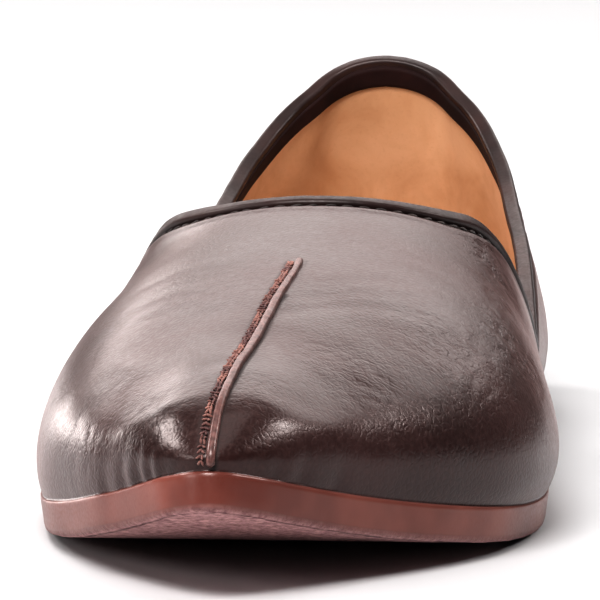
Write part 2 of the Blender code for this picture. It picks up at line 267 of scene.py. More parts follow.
DETAIL = 1.0
RIBS_COLLAR = int(120 * DETAIL / 4) * 4
RIBS_THROAT = int(104 * DETAIL / 4) * 4
RIBS_FORE = int(124 * DETAIL / 4) * 4
RIB_POINTS = int(108 * DETAIL / 4) * 4 + 1
COARSE = 4


# ------------------------------------------------------------------ curves
def hermite(t, run, start, end, start_slope, end_slope):
    """Smooth step of a curve at share t of a run, from one value and slope to the next."""
    near = (1 + 2 * t) * (1 - t) ** 2 * start + t * (1 - t) ** 2 * run * start_slope
    return near + t * t * (3 - 2 * t) * end + t * t * (t - 1) * run * end_slope


def through(x, table, k):
    """Smooth monotone curve through column k of a table, by its first column."""
    xs, ys = np.array([(row[0], row[k]) for row in table], float).T
    h = np.diff(xs)
    d = np.diff(ys) / h
    m = np.zeros_like(ys)
    m[0], m[-1] = d[0], d[-1]
    for i in range(1, len(xs) - 1):
        if d[i - 1] * d[i] > 0:
            a, b = 2 * h[i] + h[i - 1], h[i] + 2 * h[i - 1]
            m[i] = (a + b) / (a / d[i - 1] + b / d[i])
    x = np.clip(x, xs[0], xs[-1])
    j = np.clip(np.searchsorted(xs, x, side='right') - 1, 0, len(xs) - 2)
    return hermite((x - xs[j]) / h[j], h[j], ys[j], ys[j + 1], m[j], m[j + 1])


def spline(points, first, last, count):
    """Cubic curve through points, with the two end directions given."""
    pts = np.asarray(points, float)
    t = np.concatenate([[0], np.cumsum(np.linalg.norm(np.diff(pts, axis=0), axis=1) ** 0.5)])
    h = np.diff(t)[:, None]
    d = np.diff(pts, axis=0) / h
    m = np.zeros_like(pts)
    m[1:-1] = (d[1:] * h[:-1] + d[:-1] * h[1:]) / (h[:-1] + h[1:])
    m[0], m[-1] = first, last
    q = np.linspace(0, t[-1], count)
    j = np.clip(np.searchsorted(t, q, side='right') - 1, 0, len(pts) - 2)
    w = (t[j + 1] - t[j])[:, None]
    return hermite((q - t[j])[:, None] / w, w, pts[j], pts[j + 1], m[j], m[j + 1])


def travel(points):
    """Distance gone along a line of points, from 0 at its start."""
    return np.concatenate([[0], np.cumsum(np.linalg.norm(np.diff(points, axis=0), axis=1))])


def even(columns, count, trim=0.0):
    """Columns along a line, trimmed at both ends and spaced evenly by the first three, and the length."""
    t = travel(columns[:, :3])
    q = np.linspace(trim, t[-1] - trim, count)
    return np.stack([np.interp(q, t, column) for column in columns.T], 1), q[-1] - q[0]


def ease(t):
    t = np.clip(t, 0, 1)
    return t * t * (3 - 2 * t)


def unit(v):
    return v / np.maximum(np.linalg.norm(v, axis=-1), 1e-9)[..., None]


def place(p):
    """Last millimetres to the frame's metres."""
    p = np.asarray(p, float)
    return np.stack([p[..., 0] + CENTRE_X, LENGTH / 2 - p[..., 1] + CENTRE_Y, p[..., 2]], -1) * 0.001


# ------------------------------------------------------------------ soft noise for leather and rubber
def lattice(i, j, k, seed):
    """Repeatable value from -1 to 1 for each whole-number cell corner."""
    n = (i * 374761393 + j * 668265263 + k * 2147483647 + seed * 974634777) & 0xFFFFFFFF
    n = ((n ^ (n >> 13)) * 1274126177) & 0xFFFFFFFF
    n = n ^ (n >> 16)
    return (n & 0xFFFF) / 32767.5 - 1.0


def cloud(p, size, seed):
    """Smooth noise from -1 to 1 over points p, with features about size mm wide (a number or x, y, z)."""
    q = np.asarray(p, float) / np.asarray(size, float) + 1000.0
    base = np.floor(q).astype(np.int64)
    f = q - base
    f = f * f * (3 - 2 * f)
    total = np.zeros(q.shape[:-1])
    for a in (0, 1):
        for b in (0, 1):
            for c in (0, 1):
                w = (np.where(a, f[..., 0], 1 - f[..., 0]) * np.where(b, f[..., 1], 1 - f[..., 1])
                     * np.where(c, f[..., 2], 1 - f[..., 2]))
                total += w * lattice(base[..., 0] + a, base[..., 1] + b, base[..., 2] + c, seed)
    return total


# ------------------------------------------------------------------ the last
def toe_rise(y, power=SPRING_POWER):
    return np.clip((y - SPRING_FROM) / (LENGTH - SPRING_FROM), 0, None) ** power


def bottom(y):
    """Height of the sole's underside: flat heel and forefoot, slight waist, sprung toe."""
    mid = 0.5 * (WAIST_FROM + WAIST_TO)
    waist = ease((y - WAIST_FROM) / (mid - WAIST_FROM)) * ease((WAIST_TO - y) / (WAIST_TO - mid))
    return TOE_SPRING * toe_rise(y) + WAIST_LIFT * waist


def feather(y):
    """Height of the sole's top, where the upper starts."""
    return TOE_SPRING * toe_rise(y) + SOLE_THICK


def ridge_x(y):
    return through(y, RIDGE_LINE, 1)


def collar_height(q):
    """Height of the collar's edge q mm round from the heel centre, with the table's bends softened."""
    end, end_height = COLLAR[-1]
    total = 0.0
    for step, weight in ((-8.0, 1), (-4.0, 2), (0.0, 3), (4.0, 2), (8.0, 1)):
        at = np.abs(q + step)
        height = through(np.where(at > end, 2 * end - at, at), COLLAR, 1)
        total = total + weight * np.where(at > end, 2 * end_height - height, height)
    return total / 9


def lean(y, z):
    """How far the sole's lower layers stand forward of its top where the toe rises."""
    slope = SPRING_POWER * TOE_SPRING / (LENGTH - SPRING_FROM) * toe_rise(y, SPRING_POWER - 1)
    return (feather(y) - z) * slope


class Half:
    """One side of the last: ribs rise from the sole's edge to the ridge."""

    def __init__(self, side):
        self.side = side
        self.column = 1 if side > 0 else 2
        points = [(side * row[self.column], row[0] * LENGTH) for row in OUTLINE]
        curve = spline(points, (side * HEEL_TURN, 0), (-side * TOE_TURN, 0), EDGE_CURVE_POINTS)
        self.line, self.perimeter = even(curve, EDGE_POINTS)
        self.share = np.linspace(0, 1, len(self.line))
        d = np.gradient(self.line, axis=0)
        self.out = unit(np.stack([d[:, 1], -d[:, 0]], 1) * side)

    def share_at(self, y):
        return np.interp(y, self.line[:, 1], self.share)

    def foot(self, u):
        """Place on the sole's edge at share u, and the direction out from it: x, y, x, y."""
        return [np.interp(u, self.share, column) for column in (*self.line.T, *self.out.T)]

    def point(self, u, w):
        """Point at share w up the rib that stands at share u of the sole's edge."""
        px, py, nx, ny = self.foot(u)
        qy = np.where(py < 2 * HEEL_FAN, HEEL_FAN + py ** 2 / (4 * HEEL_FAN), py)
        r = LENGTH - py
        qy = np.where(r < 2 * TOE_FAN, LENGTH - (TOE_FAN + r ** 2 / (4 * TOE_FAN)), qy)
        columns = (1, 1 + self.column, 4, 4 + self.column)
        side_full, top_full, fall, bulge = (through(py, SECTION, k) for k in columns)
        a = 3 * w * (1 - w) ** 2
        b = 3 * w * w * (1 - w)
        c = w ** 3
        across = b * (1 - top_full) + c
        up = a * side_full + b * (1 - fall) + c
        x = px + (ridge_x(qy) - px) * across
        y = py + (qy - py) * across
        z0 = feather(y)
        z = z0 + (through(y, RIDGE, 1) - z0) * up
        h = np.clip(z - z0, 0, None) / BULGE_HEIGHT
        push = bulge * h * np.exp(1 - h)
        return np.stack([x + nx * push, y + ny * push, z], -1)

    def climb(self, u, over):
        """Share up each rib where over(point) turns from no to yes."""
        low, high = np.zeros_like(u), np.ones_like(u)
        for _ in range(26):
            mid = (low + high) / 2
            past = over(self.point(u, mid))
            high = np.where(past, mid, high)
            low = np.where(past, low, mid)
        return (low + high) / 2

    def topline(self, n_collar, n_throat):
        """Rib foot and share up the rib for points along the collar and throat edges."""
        u_dip = float(self.share_at(THROAT[0][0]))
        uc = u_dip * np.linspace(0, 1, n_collar + 1)
        height = collar_height(uc / u_dip * COLLAR[-1][0])
        wc = self.climb(uc, lambda p: p[..., 2] > height)
        rows = [(row[0], row[self.column], row[3]) for row in THROAT]
        edge, _ = even(spline(rows, (6, -0.5, 1.5), (0, -6, 0), 400), n_throat + 1)
        ut = self.share_at(edge[:, 0])
        side = self.side
        wt = self.climb(ut, lambda p: (p[..., 2] - edge[:, 2]) + (edge[:, 1] - side * p[..., 0]) > 0)
        wt[-1] = 1.0
        return uc, wc, ut, wt

    def grid(self, n_collar, n_throat, n_fore, points):
        """Points of the whole side, and for each the mm round the sole's edge from the toe."""
        uc, wc, ut, wt = self.topline(n_collar, n_throat)
        u_wide = float(self.share_at(WING_RIBS_TO))
        foot = np.concatenate([uc, np.linspace(uc[-1], u_wide, n_throat + 1)[1:],
                               np.linspace(u_wide, 1, n_fore + 1)[1:]])
        end_u = np.concatenate([uc, ut[1:], np.linspace(ut[-1], 1, n_fore + 1)[1:]])
        end_w = np.concatenate([wc, wt[1:], np.ones(n_fore)])
        v = np.linspace(0, 1, points)
        u = foot[:, None] + (end_u - foot)[:, None] * v[None, :] ** RIB_SLANT_POWER
        return self.point(u, end_w[:, None] * v[None, :]), (1 - u) * self.perimeter * self.side


# ------------------------------------------------------------------ both sides welded into one skin
class Skin:
    """Both sides of the last as one sheet: points, four-cornered faces, normals, edge loops and columns."""

    def __init__(self, step):
        n_collar, n_throat, n_fore = RIBS_COLLAR // step, RIBS_THROAT // step, RIBS_FORE // step
        points = (RIB_POINTS - 1) // step + 1
        outer, around_outer = Half(1).grid(n_collar, n_throat, n_fore, points)
        inner, around_inner = Half(-1).grid(n_collar, n_throat, n_fore, points)
        rows, cols = outer.shape[:2]
        a = np.arange(rows * cols).reshape(rows, cols)
        b = a + rows * cols
        first = n_collar + n_throat
        pts = np.concatenate([outer.reshape(-1, 3), inner.reshape(-1, 3)])
        around = np.concatenate([around_outer.reshape(-1), around_inner.reshape(-1)])
        shared = np.zeros((rows, cols), bool)
        shared[0], shared[-1], shared[first:, -1] = True, True, True
        pts[a[shared]] = (outer[shared] + inner[shared]) / 2
        b[shared] = a[shared]
        quads = np.concatenate([
            np.stack([a[:-1, :-1], a[1:, :-1], a[1:, 1:], a[:-1, 1:]], -1).reshape(-1, 4),
            np.stack([b[:-1, :-1], b[:-1, 1:], b[1:, 1:], b[1:, :-1]], -1).reshape(-1, 4)])
        used, back = np.unique(quads, return_inverse=True)
        where = np.full(len(pts), -1)
        where[used] = np.arange(len(used))
        self.points, self.around = pts[used], around[used]
        self.faces = back.reshape(-1, 4)
        self.low = where[np.concatenate([a[:, 0], b[-2:0:-1, 0]])]
        self.columns = where[np.concatenate([a[:first + 1, ::-1], b[first - 1:0:-1, ::-1]])]
        self.top = self.columns[:, 0]
        self.spine = where[np.concatenate([a[first:, -1], a[-1, -2::-1]])]
        self.n_collar = n_collar
        self.settle(SETTLE_ROUNDS // step ** 2)
        self.level()
        self.normals = corner_normals(self.points, self.faces)
        edge = KDTree(len(self.top))
        for i, point in enumerate(self.points[self.top]):
            edge.insert(point, i)
        edge.balance()
        self.from_edge = np.array([edge.find(point)[2] for point in self.points])

    def settle(self, rounds):
        """Relax the toe, where the ribs fan together, into one soft surface."""
        p = self.points
        aside = np.abs(p[:, 0] - ridge_x(p[:, 1]))
        above = p[:, 2] - feather(p[:, 1])
        share = 0.5 * ease((26 - aside) / 16) * ease((p[:, 1] - 224) / 18) * ease((above - 1.5) / 7)
        edges = np.stack([self.faces, np.roll(self.faces, -1, 1)], -1).reshape(-1, 2)
        edges = edges[(share[edges] > 0).any(1)]
        ids, local = np.unique(edges, return_inverse=True)
        local = local.reshape(-1, 2)
        a, b = np.concatenate([local, local[:, ::-1]]).T
        q, w = p[ids], share[ids][:, None]
        ties = np.bincount(a, minlength=len(ids))[:, None]
        for _ in range(rounds):
            mean = np.stack([np.bincount(a, q[b, k], len(ids)) for k in range(3)], 1) / ties
            q = q + w * (mean - q)
        self.points[ids] = q

    def level(self):
        """Soften the toe's top over an even grid, so that no peak is left where the ribs meet."""
        xs, ys = np.arange(*LEVEL_X, LEVEL_STEP), np.arange(*LEVEL_Y, LEVEL_STEP)
        leather = BVHTree.FromPolygons(self.points.tolist(), self.faces.tolist())
        hits = [[leather.ray_cast(Vector((x, y, 80.0)), Vector((0, 0, -1)))[0] for y in ys] for x in xs]
        height = np.array([[hit.z if hit else 25.0 for hit in row] for row in hits])
        reach = int(2.5 * LEVEL_REACH / LEVEL_STEP)
        weight = np.exp(-0.5 * (np.arange(-reach, reach + 1) * LEVEL_STEP / LEVEL_REACH) ** 2)
        soft = np.pad(height, reach, 'edge')
        for axis in (0, 1):
            soft = np.apply_along_axis(np.convolve, axis, soft, weight / weight.sum(), 'valid')
        x, y, z = self.points.T
        i, j = (x - xs[0]) / LEVEL_STEP, (y - ys[0]) / LEVEL_STEP
        i, j = np.clip(i, 0, len(xs) - 1.001), np.clip(j, 0, len(ys) - 1.001)
        a, b = i.astype(int), j.astype(int)
        s, t = i - a, j - b
        change = soft - height
        change = ((1 - s) * (1 - t) * change[a, b] + s * (1 - t) * change[a + 1, b]
                  + (1 - s) * t * change[a, b + 1] + s * t * change[a + 1, b + 1])
        share = ease((20 - np.abs(x - ridge_x(y))) / 8) * ease((y - 236) / 8) * ease((273 - y) / 8)
        self.points[:, 2] += change * share * ease((z - feather(y) - 6) / 4)

    def row(self, kind):
        """Places in the top edge: the throat, or the collar from one dip round the heel to the other."""
        a, n = self.n_collar, len(self.top)
        if kind == "throat":
            return np.arange(a, n - a + 1)
        return np.concatenate([np.arange(n - a, n), np.arange(a + 1)])

    def below(self, distance):
        """Points and normals that stand the given mm below the top edge, one for each place along it."""
        ribs = np.concatenate([self.points, self.normals], 1)[self.columns]
        found = []
        for down, rib in zip(np.broadcast_to(distance, len(ribs)), ribs):
            run = travel(rib[:, :3])
            found.append([np.interp(down, run, column) for column in rib.T])
        found = np.array(found)
        return found[:, :3], unit(found[:, 3:])


def corner_normals(points, faces):
    """Outward normals of a sheet, averaged at its points."""
    p = points[faces]
    q = np.cross(p[:, 2] - p[:, 0], p[:, 3] - p[:, 1])
    n = np.zeros_like(points)
    for k in range(4):
        np.add.at(n, faces[:, k], q)
    return unit(n)


def line_distance(p, ends):
    """Distance from plan points to a bent line, and how far along it from 0 to 1."""
    best = np.full(len(p), 1e9)
    along = np.zeros(len(p))
    count = len(ends) - 1
    for k in range(count):
        a, b = ends[k], ends[k + 1]
        t = np.clip(((p - a) @ (b - a)) / ((b - a) @ (b - a)), 0, 1)
        d = np.linalg.norm(p - a - t[:, None] * (b - a), axis=1)
        near = d < best
        best[near], along[near] = d[near], ((k + t) / count)[near]
    return best, along


def wrinkling(points, zones):
    """How strongly the grain is wrinkled at each point, from 0 to 1."""
    total = np.zeros(len(points))
    for x, y, z, radius, strength in zones:
        d = np.linalg.norm(points - np.array([x, y, z]), axis=1)
        total = np.maximum(total, strength * np.exp(-(d / radius) ** 2))
    return total


def crinkle(points, size, seed, sharpness):
    """Narrow creases between soft pads: 1 in a crease, near 0 on the pads."""
    return (1 - np.abs(cloud(points, size, seed))) ** sharpness


def quarter_creases(p):
    """The short level creases beside the heel's middle: 1 in a crease at the heart of a zone."""
    slope = p[:, 2] + 0.25 * np.abs(p[:, 0])
    bands = np.stack([p[:, 0], p[:, 1], slope], 1)
    return crinkle(bands, (7.0, 7.0, 2.3), 7, 3.0) * wrinkling(p, QUARTER_WRINKLES)


def leather_relief(skin):
    """Movement of each skin point along its normal, mm: folds, creases, seam valley and soft unevenness."""
    p, around = skin.points, skin.around
    above = p[:, 2] - feather(p[:, 1])
    move = np.zeros(len(p))
    for start, slant, width, depth, reach in LASTING_FOLDS:
        off = around - start + slant * above * np.sign(start)
        fade = np.exp(-(above / reach) ** 2) * ease((above + 0.6) / 1.2)
        move -= depth * np.exp(-(off / width) ** 2) * fade
        move += 0.35 * depth * np.exp(-((np.abs(off) - 1.9 * width) / width) ** 2) * fade
    upward = ease((skin.normals[:, 2] - 0.15) / 0.4)
    for *line, width, height in VAMP_CREASES:
        d, along = line_distance(p[:, :2], np.reshape(line, (3, 2)))
        move += 0.6 * height * np.exp(-(d / width) ** 2) * ease(4 * along * (1 - along) * 1.3) * upward
    from_seam = p[:, 0] - ridge_x(p[:, 1])
    valley = ease((p[:, 1] - 216) / 40) * (1 - 0.5 * ease((p[:, 1] - 272) / 12)) * ease((above - 1) / 8)
    move -= VALLEY_DEEP * np.exp(-(from_seam / VALLEY_WIDE) ** 2) * valley
    for height, size, seed in UNEVENNESS:
        move += height * cloud(p, size, seed) * ease((above - 0.5) / 5)
    move -= CREASE_DEEP * quarter_creases(p)
    move -= PEBBLE_DEEP * crinkle(p, (3.0, 3.4, 2.8), 9, 4.0) * wrinkling(p, VAMP_WRINKLES)
    move -= GROOVE_DEEP * past_groove(skin, GROOVE_WIDE)
    move += PUFF_HIGH * np.exp(-((skin.from_edge - PUFF_AT) / PUFF_WIDE) ** 2)
    return move


def past_groove(skin, wide):
    """1 from the edge to the groove's middle, then falling away over wide mm."""
    return np.exp(-(np.clip(skin.from_edge - GROOVE_AT, 0, None) / wide) ** 2)


def painted_shade(skin):
    """Painted shade, from 0 to 1: darker in the edge groove, in the heel creases and close along the seam."""
    p = skin.points
    aside = p[:, 0] - ridge_x(p[:, 1]) - SEAM_SIDE
    right = np.exp(-((aside - 0.5 * SEAM_WIDE - 0.25) / 0.45) ** 2)
    left = 0.5 * np.exp(-((aside + 0.5 * SEAM_WIDE + 0.8) / 0.9) ** 2)
    along = ease((p[:, 1] - SEAM_BACK_Y + 0.6) / 0.8)
    # Painted shade in the groove, in the heel creases and on both sides of the seam; the greatest share wins.
    shade_masks = [past_groove(skin, 0.7), 0.35 * quarter_creases(p), np.maximum(right, left) * along]
    return np.max(shade_masks, axis=0)


# ------------------------------------------------------------------ meshes
def in_scene(name, data):
    """A new object in the scene for some mesh, camera or light."""
    made = bpy.data.objects.new(name, data)
    bpy.context.scene.collection.objects.link(made)
    return made


def keep(name, mesh, replaced=None):
    """Make a finished piece of a mesh; it rides on the shoe and may take the place of a plain solid."""
    mesh.name = name
    piece = in_scene(name, mesh)
    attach(piece, "root")
    if replaced:
        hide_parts(replaced)
    return piece


def mesh_piece(name, points, faces, material, replaced=None):
    """A smooth piece from mm points and faces."""
    mesh = bpy.data.meshes.new(name)
    mesh.from_pydata(place(points).tolist(), [], [tuple(int(i) for i in f) for f in faces])
    mesh.validate()
    mesh.update()
    mesh.polygons.foreach_set("use_smooth", np.ones(len(mesh.polygons), bool))
    mesh.materials.append(material)
    return keep(name, mesh, replaced)


def store(mesh, name, values):
    """Keep one number or one direction for each point of a mesh, for its material or tree to read."""
    values = np.asarray(values, np.float32)
    kind, field = ('FLOAT', "value") if values.ndim == 1 else ('FLOAT_VECTOR', "vector")
    mesh.attributes.new(name, kind, 'POINT').data.foreach_set(field, values.ravel())


def band(a, b):
    """Faces between two closed loops of as many points."""
    return list(zip(a, b, np.roll(b, -1), np.roll(a, -1)))


def join_loops(fine, coarse):
    """Faces between a fine closed loop and one with COARSE times fewer points."""
    faces, half = [], COARSE // 2
    for k, (a, b) in enumerate(zip(coarse, np.roll(coarse, -1))):
        for j in range(COARSE):
            p, q = fine[k * COARSE + j], fine[(k * COARSE + j + 1) % len(fine)]
            faces.append((p, q, a if j < half else b))
            if j == half - 1:
                faces.append((q, b, a))
    return faces


def two_skins(outer, inner):
    """Faces of an outer skin and of an inner one that follows it, turned to face the other way."""
    return [tuple(f) for f in outer.faces] + [tuple(f[::-1] + len(outer.points)) for f in inner.faces]


# ------------------------------------------------------------------ Geometry Nodes for what follows a line
def add(tree, kind, values=None, **settings):
    """Add a node; values maps a socket's name or number to a number or to the socket that feeds it."""
    node = tree.nodes.new(kind)
    for key, value in settings.items():
        setattr(node, key, value)
    for socket, value in (values or {}).items():
        if isinstance(value, bpy.types.NodeSocket):
            tree.links.new(value, node.inputs[socket])
        else:
            node.inputs[socket].default_value = value
    return node


def result(tree, kind, values=None, **settings):
    """Add a node and take its first output."""
    return add(tree, kind, values, **settings).outputs[0]


def new_tree(name, **kinds):
    """An empty tree: a line of points goes in, named sizes go in, a finished piece comes out."""
    tree = bpy.data.node_groups.new(name, 'GeometryNodeTree')
    for label, kind in {"Line": 'Geometry', **kinds}.items():
        tree.interface.new_socket(label, in_out='INPUT', socket_type='NodeSocket' + kind)
    tree.interface.new_socket("Piece", in_out='OUTPUT', socket_type='NodeSocketGeometry')
    return tree, tree.nodes.new('NodeGroupInput').outputs, tree.nodes.new('NodeGroupOutput')


def framed_line(tree, line, direction):
    """The line as a curve whose normals are the direction stored on its points."""
    normal = result(tree, 'GeometryNodeInputNamedAttribute', {"Name": direction}, data_type='FLOAT_VECTOR')
    curve = result(tree, 'GeometryNodeMeshToCurve', {"Mesh": line})
    return result(tree, 'GeometryNodeSetCurveNormal', {"Curve": curve, "Normal": normal}, mode='FREE')


def finish_tree(tree, geometry, material, outgoing):
    smooth = result(tree, 'GeometryNodeSetShadeSmooth', {"Geometry": geometry})
    real = result(tree, 'GeometryNodeRealizeInstances', {"Geometry": smooth})
    dressed = result(tree, 'GeometryNodeSetMaterial', {"Geometry": real, "Material": material})
    tree.links.new(dressed, outgoing.inputs[0])


def rolled_strip_tree():
    """Round-cornered strip swept along a line, whose points say which way is across and how full it is."""
    tree, size, piece = new_tree("rolled strip", Across='Float', Height='Float', Corner='Float',
                                 Round='Int', Unevenness='Float', Leather='Material')
    full = result(tree, 'GeometryNodeInputNamedAttribute', {"Name": "full"}, data_type='FLOAT')
    line = framed_line(tree, size["Line"], "across")
    ring = result(tree, 'GeometryNodeCurvePrimitiveQuadrilateral',
                  {"Width": size["Across"], "Height": size["Height"]})
    ring = result(tree, 'GeometryNodeFilletCurve',
                  {"Curve": ring, "Radius": size["Corner"], "Limit Radius": True, "Count": size["Round"]},
                  mode='POLY')
    swept = result(tree, 'GeometryNodeCurveToMesh',
                   {"Curve": line, "Profile Curve": ring, "Scale": full, "Fill Caps": True})
    bumps = result(tree, 'ShaderNodeTexNoise', {"Scale": 210.0, "Detail": 2.0})
    amount = maths(tree, 'MULTIPLY', maths(tree, 'SUBTRACT', bumps, 0.5), size["Unevenness"])
    outward = result(tree, 'GeometryNodeInputNormal')
    push = result(tree, 'ShaderNodeVectorMath', {0: outward, "Scale": amount}, operation='SCALE')
    moved = result(tree, 'GeometryNodeSetPosition', {"Geometry": swept, "Offset": push})
    finish_tree(tree, moved, size["Leather"], piece)
    return tree


def stitch_row_tree():
    """Short threads laid along a line at a pitch; the line's points say which way is up off the leather."""
    tree, size, piece = new_tree("stitch row", Pitch='Float', Length='Float', Thread='Float', Slant='Float',
                                 Wander='Float', Seed='Int', Finish='Material')
    line = framed_line(tree, size["Line"], "up")
    dots = add(tree, 'GeometryNodeCurveToPoints', {"Curve": line, "Length": size["Pitch"]}, mode='LENGTH')
    turn = result(tree, 'FunctionNodeAxesToRotation',
                  {"Primary Axis": dots.outputs["Tangent"], "Secondary Axis": dots.outputs["Normal"]},
                  primary_axis='Z', secondary_axis='X')
    stray = result(tree, 'FunctionNodeRandomValue',
                   {"Min": (-1.0, -1.0, -1.0), "Max": (1.0, 1.0, 1.0), "Seed": size["Seed"]},
                   data_type='FLOAT_VECTOR')
    stray = result(tree, 'ShaderNodeVectorMath', {0: stray, "Scale": size["Wander"]}, operation='SCALE')
    slant = result(tree, 'ShaderNodeCombineXYZ', {"X": size["Slant"]})
    both = result(tree, 'ShaderNodeVectorMath', {0: slant, 1: stray}, operation='ADD')
    turn = result(tree, 'FunctionNodeRotateRotation', {"Rotation": turn, "Rotate By": both},
                  rotation_space='LOCAL')
    scale = result(tree, 'ShaderNodeCombineXYZ',
                   {"X": size["Thread"], "Y": size["Thread"], "Z": size["Length"]})
    thread = result(tree, 'GeometryNodeMeshIcoSphere', {"Radius": 0.5, "Subdivisions": 2})
    laid = result(tree, 'GeometryNodeInstanceOnPoints',
                  {"Points": dots.outputs[0], "Instance": thread, "Rotation": turn, "Scale": scale})
    finish_tree(tree, laid, size["Finish"], piece)
    return tree


def line_object(points, **layers):
    """A bare line of points in the frame's metres, with directions or numbers stored on its points."""
    mesh = bpy.data.meshes.new("line")
    mesh.from_pydata(place(points).tolist(), [(i, i + 1) for i in range(len(points) - 1)], [])
    for name, values in layers.items():
        store(mesh, name, values * np.array([1.0, -1.0, 1.0]) if values.ndim == 2 else values)
    return in_scene("line", mesh)


def grow(name, line, tree, sizes, replaced=None):
    """Run a tree on a line with the given sizes and keep the result as a plain finished piece."""
    mod = line.modifiers.new(tree.name, 'NODES')
    mod.node_group = tree
    for item in tree.interface.items_tree:
        if item.item_type == 'SOCKET' and item.in_out == 'INPUT' and item.name in sizes:
            mod[item.identifier] = sizes[item.name]
    graph = bpy.context.evaluated_depsgraph_get()
    mesh = bpy.data.meshes.new_from_object(line.evaluated_get(graph))
    for layer in [a.name for a in mesh.attributes if a.name in ("across", "full", "up")]:
        mesh.attributes.remove(mesh.attributes[layer])
    bpy.data.objects.remove(line)
    return keep(name, mesh, replaced)


# ------------------------------------------------------------------ finishes
def finish(name, colour, roughness, specular=0.5, coat=0.0, coat_roughness=0.3,
           sheen=0.0, sheen_tint=(1.0, 1.0, 1.0), sheen_roughness=0.5):
    """A new material with its plain numbers set on the shader itself."""
    mat = bpy.data.materials.new(name)
    mat.use_nodes = True
    shader = mat.node_tree.nodes["Principled BSDF"]
    values = {"Base Color": (*colour, 1.0), "Roughness": roughness, "Specular IOR Level": specular,
              "Coat Weight": coat, "Coat Roughness": coat_roughness, "Sheen Weight": sheen,
              "Sheen Tint": (*sheen_tint, 1.0), "Sheen Roughness": sheen_roughness}
    for key, value in values.items():
        shader.inputs[key].default_value = value
    return mat, mat.node_tree, shader


def texture(tree, kind, size_mm, stretch=(1.0, 1.0, 1.0), **values):
    """A texture over the piece's own coordinates whose features are about size_mm wide."""
    where = add(tree, 'ShaderNodeTexCoord').outputs["Object"]
    scale = tuple(1000.0 / size_mm / k for k in stretch)
    sized = result(tree, 'ShaderNodeMapping', {"Vector": where, "Scale": scale})
    return add(tree, kind, {"Vector": sized, "Scale": 1.0, **values})


def noise(tree, size_mm, **values):
    return texture(tree, 'ShaderNodeTexNoise', size_mm, **values).outputs["Fac"]


def stored(tree, name):
    """The number that a piece keeps under a name for each of its points."""
    return add(tree, 'ShaderNodeAttribute', attribute_name=name).outputs["Fac"]


def ramp(tree, source, low, high, out_low=0.0, out_high=1.0):
    return result(tree, 'ShaderNodeMapRange', {"Value": source, "From Min": low, "From Max": high,
                                               "To Min": out_low, "To Max": out_high})


def blend(tree, share, a, b):
    """Colour between a and b by share; a and b are colours or sockets."""
    a, b = (tone if isinstance(tone, bpy.types.NodeSocket) else (*tone, 1.0) for tone in (a, b))
    return add(tree, 'ShaderNodeMix', {0: share, 6: a, 7: b}, data_type='RGBA').outputs[2]


def maths(tree, operation, a, b):
    return result(tree, 'ShaderNodeMath', {0: a, 1: b}, operation=operation)


def relief_chain(tree, shader, layers):
    """Bumps laid over each other: layers are (height socket, depth in mm, strength)."""
    below = {}
    for height, depth, strength in layers:
        values = {"Height": height, "Distance": depth * 0.001, "Strength": strength, **below}
        below = {"Normal": result(tree, 'ShaderNodeBump', values)}
    tree.links.new(below["Normal"], shader.inputs["Normal"])


def mottled(name, colour, roughness, dark, light, patch, grain, bump, swell=None, gloss=None, **plain):
    """Leather or thread that goes softly from dark to light.

    patch: size, detail and where the change starts and ends; grain: size, detail; bump and swell: depth and
    strength of the grain's and of the patches' relief; gloss: least and greatest roughness.
    """
    mat, tree, shader = finish(name, colour, roughness, **plain)
    size, detail, low, high = patch
    patches = noise(tree, size, Detail=detail)
    specks = noise(tree, grain[0], Detail=grain[1])
    tone = blend(tree, ramp(tree, patches, low, high), dark, light)
    tree.links.new(tone, shader.inputs["Base Color"])
    if gloss:
        tree.links.new(ramp(tree, specks, 0.3, 0.7, *gloss), shader.inputs["Roughness"])
    relief_chain(tree, shader, [(specks, *bump)] + ([(patches, *swell)] if swell else []))
    return mat


